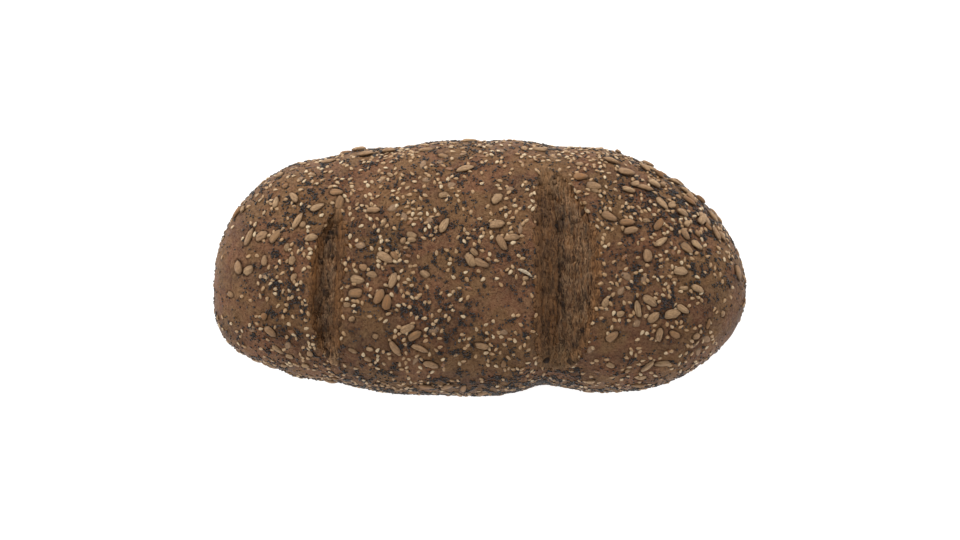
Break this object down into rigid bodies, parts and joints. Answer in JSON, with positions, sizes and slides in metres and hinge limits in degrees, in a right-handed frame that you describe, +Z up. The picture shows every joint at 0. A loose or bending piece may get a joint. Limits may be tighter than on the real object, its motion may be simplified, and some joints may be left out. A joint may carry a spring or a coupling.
{
  "type": "seeded loaf of bread",
  "caption": "Long round-shouldered brown loaf with two torn cuts across its top, baked with sunflower, sesame and poppy seeds, standing on a flat sole.",
  "frame": {"origin": "under the middle of the loaf, on the flat sole it stands on", "axes": "+X along the loaf towards the end with the wide cut, +Y across it towards the back, +Z up"},
  "size_m": [0.2796, 0.1355, 0.0889],
  "materials": {
    "crust": "dull baked brown crust with pale and black seeds"
  },
  "bodies": {
    "root": {"loaf": "crust"}
  },
  "joints": []
}
